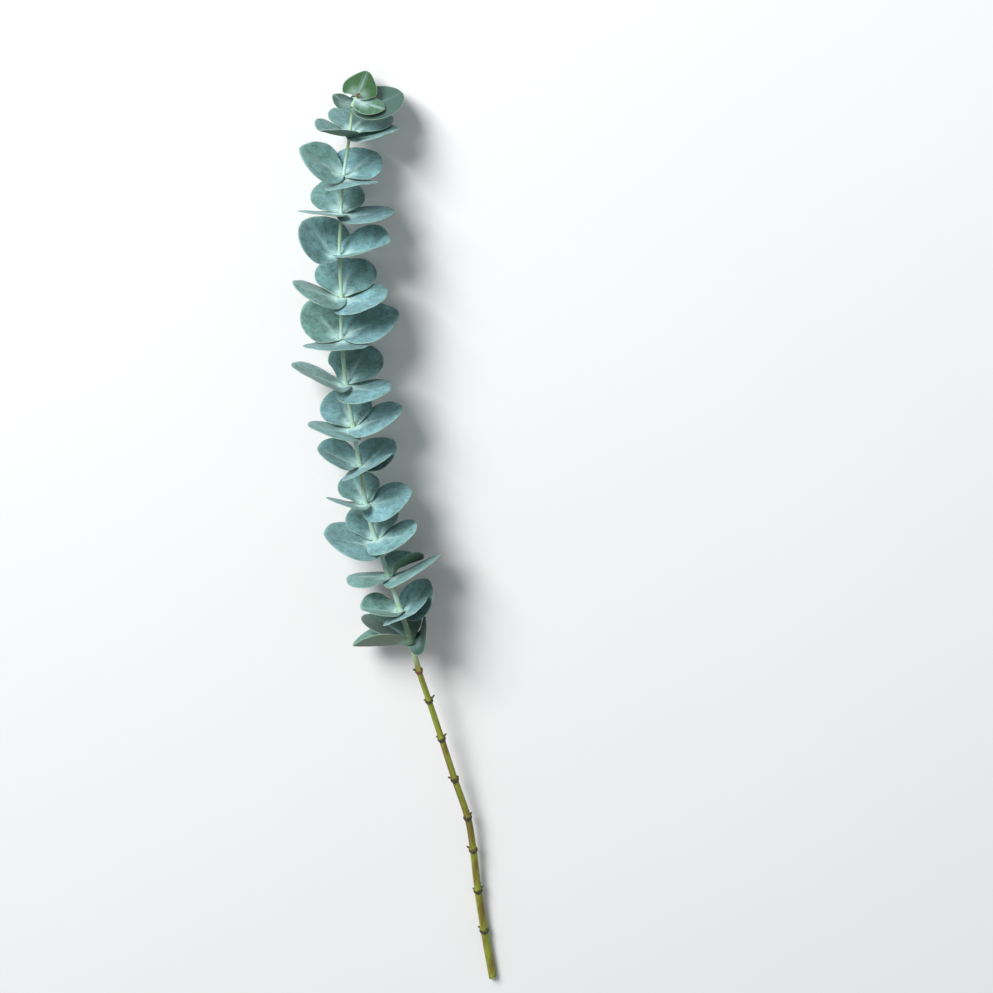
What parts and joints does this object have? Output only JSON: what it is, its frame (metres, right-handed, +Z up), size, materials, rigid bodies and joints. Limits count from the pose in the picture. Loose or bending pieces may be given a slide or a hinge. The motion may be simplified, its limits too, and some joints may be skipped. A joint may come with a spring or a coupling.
{
  "type": "baby blue eucalyptus stem",
  "caption": "Cut eucalyptus stem lying on its side, with round, waxy blue-grey leaves clasping it in whorls; foliage for vases, wreaths and bouquets.",
  "frame": {"origin": "centre of the bounding box's base, on the surface that the stem lies on", "axes": "+Y from the cut end towards the shoot tip, +Z up from the surface, +X to the right when seen from above with the tip ahead"},
  "size_m": [0.1202, 0.6212, 0.0584],
  "materials": {
    "stem": "green bark, matt, with a pale bloom among the leaves and brown rings at the bare nodes",
    "leaf": "matt wax bloom over blue-green",
    "young_leaf": "matt, greener, with little bloom"
  },
  "bodies": {
    "root": {"stem": "stem", "leaf_01_right": "young_leaf", "leaf_01_back": "young_leaf", "leaf_02_left": "leaf", "leaf_02_right": "leaf", "leaf_03_right": "leaf", "leaf_03_left": "leaf", "leaf_03_back": "leaf", "leaf_04_front": "leaf", "leaf_04_right": "leaf", "leaf_04_left": "leaf", "leaf_05_right": "leaf", "leaf_05_left": "leaf", "leaf_05_back": "leaf", "leaf_06_right": "leaf", "leaf_06_left": "leaf", "leaf_07_right": "leaf", "leaf_07_left": "leaf", "leaf_07_back": "leaf", "leaf_08_front": "leaf", "leaf_08_left": "leaf", "leaf_08_right": "leaf", "leaf_09_right": "leaf", "leaf_09_left": "leaf", "leaf_09_back": "leaf", "leaf_10_left": "leaf", "leaf_10_right": "leaf", "leaf_10_back": "leaf", "leaf_11_right": "leaf", "leaf_11_front": "leaf", "leaf_11_left": "leaf", "leaf_12_right": "leaf", "leaf_12_left": "leaf", "leaf_12_back": "leaf", "leaf_13_left": "leaf", "leaf_13_right": "leaf", "leaf_13_back": "leaf", "leaf_14_right": "leaf", "leaf_14_left": "leaf", "leaf_14_back": "leaf", "leaf_15_right": "leaf", "leaf_15_front": "leaf", "leaf_15_left": "leaf", "leaf_16_right": "leaf", "leaf_16_left": "leaf", "leaf_16_back": "leaf"}
  },
  "joints": []
}
